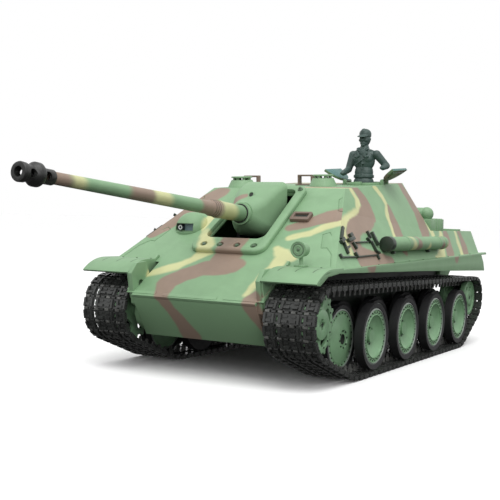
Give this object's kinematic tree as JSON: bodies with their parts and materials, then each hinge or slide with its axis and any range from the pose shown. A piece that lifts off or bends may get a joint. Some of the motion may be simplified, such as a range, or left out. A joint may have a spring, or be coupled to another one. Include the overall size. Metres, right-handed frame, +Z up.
{
  "type": "radio-controlled tracked vehicle model",
  "caption": "Radio-controlled scale tank without a turret: sloped armoured hull, long elevating gun, tracked running gear, opening hatch and a lift-out crew figure.",
  "frame": {"origin": "on the ground under the middle of the whole length and width, gun included", "axes": "+X to the vehicle's left, -Y to its front along the gun, +Z up"},
  "size_m": [0.2068, 0.6116, 0.2074],
  "materials": {
    "hull_dark": "satin dark green",
    "camo_paint": "matt, three-tone sprayed pattern",
    "exhaust_paint": "matt rust brown",
    "bolt_green": "satin",
    "clear_lens": "clear",
    "plain_green": "matt",
    "guard_brown": "matt",
    "figure_teal": "matt",
    "fitting_black": "satin",
    "track_black": "satin",
    "arm_dark": "satin",
    "inner_black": "satin",
    "brake_grey": "satin",
    "servo_black": "satin",
    "motor_steel": "brushed",
    "battery_wrap": "shrink wrap",
    "board_green": "gloss",
    "screw_steel": "blackened",
    "switch_black": "satin",
    "wheel_green": "satin light green, dark moulded tyre"
  },
  "bodies": {
    "hull": {"lower_hull": "hull_dark", "upper_hull": "camo_paint", "track_guards": "camo_paint", "rear_plate": "camo_paint", "exhaust_pipes": "exhaust_paint", "rear_bins": "camo_paint", "engine_hatch": "camo_paint", "deck_grilles": "camo_paint", "gun_collar": "camo_paint", "collar_bolts": "bolt_green", "bow_mount": "camo_paint", "lamp_lenses": "clear_lens", "headlight": "plain_green", "periscope_guards": "guard_brown", "roof_sights": "plain_green", "hatch_ring": "plain_green", "cleaning_tube": "camo_paint", "tube_fittings": "fitting_black", "deck_tube": "plain_green", "tool_brackets": "fitting_black", "track_left": "track_black", "track_right": "track_black", "swing_arms": "arm_dark", "gun_pedestal": "inner_black", "gun_servo": "servo_black", "gearboxes": "inner_black", "drive_motors": "motor_steel", "battery_pack": "battery_wrap", "battery_cover": "hull_dark", "control_board": "board_green", "speaker": "servo_black", "hull_screws": "screw_steel"},
    "gun_yoke": {"gun_yoke": "inner_black"},
    "gun": {"mantlet": "camo_paint", "gun_barrel": "camo_paint", "muzzle_brake": "brake_grey"},
    "hatch_flap_left": {"hatch_flap_left": "camo_paint"},
    "hatch_flap_right": {"hatch_flap_right": "camo_paint"},
    "commander_figure": {"commander_figure": "figure_teal"},
    "power_switch": {"power_switch": "switch_black"},
    "sprocket_left": {"sprocket_left": "wheel_green"},
    "idler_left": {"idler_left": "wheel_green"},
    "road_wheel_left_1": {"road_wheel_left_1": "wheel_green"},
    "road_wheel_left_2": {"road_wheel_left_2": "wheel_green"},
    "road_wheel_left_3": {"road_wheel_left_3": "wheel_green"},
    "road_wheel_left_4": {"road_wheel_left_4": "wheel_green"},
    "road_wheel_left_5": {"road_wheel_left_5": "wheel_green"},
    "road_wheel_left_6": {"road_wheel_left_6": "wheel_green"},
    "road_wheel_left_7": {"road_wheel_left_7": "wheel_green"},
    "road_wheel_left_8": {"road_wheel_left_8": "wheel_green"},
    "sprocket_right": {"sprocket_right": "wheel_green"},
    "idler_right": {"idler_right": "wheel_green"},
    "road_wheel_right_1": {"road_wheel_right_1": "wheel_green"},
    "road_wheel_right_2": {"road_wheel_right_2": "wheel_green"},
    "road_wheel_right_3": {"road_wheel_right_3": "wheel_green"},
    "road_wheel_right_4": {"road_wheel_right_4": "wheel_green"},
    "road_wheel_right_5": {"road_wheel_right_5": "wheel_green"},
    "road_wheel_right_6": {"road_wheel_right_6": "wheel_green"},
    "road_wheel_right_7": {"road_wheel_right_7": "wheel_green"},
    "road_wheel_right_8": {"road_wheel_right_8": "wheel_green"}
  },
  "joints": [
    {"name": "gun_traverse", "type": "hinge", "parent": "hull", "child": "gun_yoke", "pos_m": [0, -0.01282, 0.1213], "axis": [0, 0, 1], "range_deg": [-8, 8]},
    {"name": "gun_elevation", "type": "hinge", "parent": "gun_yoke", "child": "gun", "pos_m": [0, -0.01282, 0.1213], "axis": [-1, 0, 0], "range_deg": [-8, 8]},
    {"name": "hatch_left_hinge", "type": "hinge", "parent": "hull", "child": "hatch_flap_left", "pos_m": [0.057, 0.09991, 0.15889], "axis": [0, 0.9967, 0.0806], "range_deg": [-18, 25]},
    {"name": "hatch_right_hinge", "type": "hinge", "parent": "hull", "child": "hatch_flap_right", "pos_m": [0.02, 0.09991, 0.15889], "axis": [0, -0.9967, -0.0806], "range_deg": [-18, 25]},
    {"name": "figure_lift", "type": "slide", "parent": "hull", "child": "commander_figure", "axis": [0, 0, 1], "range_m": [0, 0.075]},
    {"name": "power_switch_slide", "type": "slide", "parent": "hull", "child": "power_switch", "axis": [0, 1, 0], "range_m": [0, 0.0045]},
    {"name": "sprocket_left_spin", "type": "hinge", "parent": "hull", "child": "sprocket_left", "pos_m": [0.082, -0.09932, 0.0467], "axis": [1, 0, 0], "continuous": true},
    {"name": "idler_left_spin", "type": "hinge", "parent": "hull", "child": "idler_left", "pos_m": [0.082, 0.24468, 0.046], "axis": [1, 0, 0], "continuous": true},
    {"name": "road_wheel_left_1_spin", "type": "hinge", "parent": "hull", "child": "road_wheel_left_1", "pos_m": [0.082, -0.04732, 0.0306], "axis": [1, 0, 0], "continuous": true},
    {"name": "road_wheel_left_2_spin", "type": "hinge", "parent": "hull", "child": "road_wheel_left_2", "pos_m": [0.082, -0.01232, 0.0306], "axis": [1, 0, 0], "continuous": true},
    {"name": "road_wheel_left_3_spin", "type": "hinge", "parent": "hull", "child": "road_wheel_left_3", "pos_m": [0.082, 0.02268, 0.0306], "axis": [1, 0, 0], "continuous": true},
    {"name": "road_wheel_left_4_spin", "type": "hinge", "parent": "hull", "child": "road_wheel_left_4", "pos_m": [0.082, 0.05768, 0.0306], "axis": [1, 0, 0], "continuous": true},
    {"name": "road_wheel_left_5_spin", "type": "hinge", "parent": "hull", "child": "road_wheel_left_5", "pos_m": [0.082, 0.09268, 0.0306], "axis": [1, 0, 0], "continuous": true},
    {"name": "road_wheel_left_6_spin", "type": "hinge", "parent": "hull", "child": "road_wheel_left_6", "pos_m": [0.082, 0.12768, 0.0306], "axis": [1, 0, 0], "continuous": true},
    {"name": "road_wheel_left_7_spin", "type": "hinge", "parent": "hull", "child": "road_wheel_left_7", "pos_m": [0.082, 0.16268, 0.0306], "axis": [1, 0, 0], "continuous": true},
    {"name": "road_wheel_left_8_spin", "type": "hinge", "parent": "hull", "child": "road_wheel_left_8", "pos_m": [0.082, 0.19768, 0.0306], "axis": [1, 0, 0], "continuous": true},
    {"name": "sprocket_right_spin", "type": "hinge", "parent": "hull", "child": "sprocket_right", "pos_m": [-0.082, -0.09932, 0.0467], "axis": [1, 0, 0], "continuous": true},
    {"name": "idler_right_spin", "type": "hinge", "parent": "hull", "child": "idler_right", "pos_m": [-0.082, 0.24468, 0.046], "axis": [1, 0, 0], "continuous": true},
    {"name": "road_wheel_right_1_spin", "type": "hinge", "parent": "hull", "child": "road_wheel_right_1", "pos_m": [-0.082, -0.04732, 0.0306], "axis": [1, 0, 0], "continuous": true},
    {"name": "road_wheel_right_2_spin", "type": "hinge", "parent": "hull", "child": "road_wheel_right_2", "pos_m": [-0.082, -0.01232, 0.0306], "axis": [1, 0, 0], "continuous": true},
    {"name": "road_wheel_right_3_spin", "type": "hinge", "parent": "hull", "child": "road_wheel_right_3", "pos_m": [-0.082, 0.02268, 0.0306], "axis": [1, 0, 0], "continuous": true},
    {"name": "road_wheel_right_4_spin", "type": "hinge", "parent": "hull", "child": "road_wheel_right_4", "pos_m": [-0.082, 0.05768, 0.0306], "axis": [1, 0, 0], "continuous": true},
    {"name": "road_wheel_right_5_spin", "type": "hinge", "parent": "hull", "child": "road_wheel_right_5", "pos_m": [-0.082, 0.09268, 0.0306], "axis": [1, 0, 0], "continuous": true},
    {"name": "road_wheel_right_6_spin", "type": "hinge", "parent": "hull", "child": "road_wheel_right_6", "pos_m": [-0.082, 0.12768, 0.0306], "axis": [1, 0, 0], "continuous": true},
    {"name": "road_wheel_right_7_spin", "type": "hinge", "parent": "hull", "child": "road_wheel_right_7", "pos_m": [-0.082, 0.16268, 0.0306], "axis": [1, 0, 0], "continuous": true},
    {"name": "road_wheel_right_8_spin", "type": "hinge", "parent": "hull", "child": "road_wheel_right_8", "pos_m": [-0.082, 0.19768, 0.0306], "axis": [1, 0, 0], "continuous": true}
  ],
  "couplings": [
    {"joint": "idler_left_spin", "follows": "sprocket_left_spin", "ratio": 1.2611},
    {"joint": "road_wheel_left_1_spin", "follows": "sprocket_left_spin", "ratio": 0.98084},
    {"joint": "road_wheel_left_2_spin", "follows": "sprocket_left_spin", "ratio": 0.98084},
    {"joint": "road_wheel_left_3_spin", "follows": "sprocket_left_spin", "ratio": 0.98084},
    {"joint": "road_wheel_left_4_spin", "follows": "sprocket_left_spin", "ratio": 0.98084},
    {"joint": "road_wheel_left_5_spin", "follows": "sprocket_left_spin", "ratio": 0.98084},
    {"joint": "road_wheel_left_6_spin", "follows": "sprocket_left_spin", "ratio": 0.98084},
    {"joint": "road_wheel_left_7_spin", "follows": "sprocket_left_spin", "ratio": 0.98084},
    {"joint": "road_wheel_left_8_spin", "follows": "sprocket_left_spin", "ratio": 0.98084},
    {"joint": "idler_right_spin", "follows": "sprocket_right_spin", "ratio": 1.2611},
    {"joint": "road_wheel_right_1_spin", "follows": "sprocket_right_spin", "ratio": 0.98084},
    {"joint": "road_wheel_right_2_spin", "follows": "sprocket_right_spin", "ratio": 0.98084},
    {"joint": "road_wheel_right_3_spin", "follows": "sprocket_right_spin", "ratio": 0.98084},
    {"joint": "road_wheel_right_4_spin", "follows": "sprocket_right_spin", "ratio": 0.98084},
    {"joint": "road_wheel_right_5_spin", "follows": "sprocket_right_spin", "ratio": 0.98084},
    {"joint": "road_wheel_right_6_spin", "follows": "sprocket_right_spin", "ratio": 0.98084},
    {"joint": "road_wheel_right_7_spin", "follows": "sprocket_right_spin", "ratio": 0.98084},
    {"joint": "road_wheel_right_8_spin", "follows": "sprocket_right_spin", "ratio": 0.98084}
  ]
}
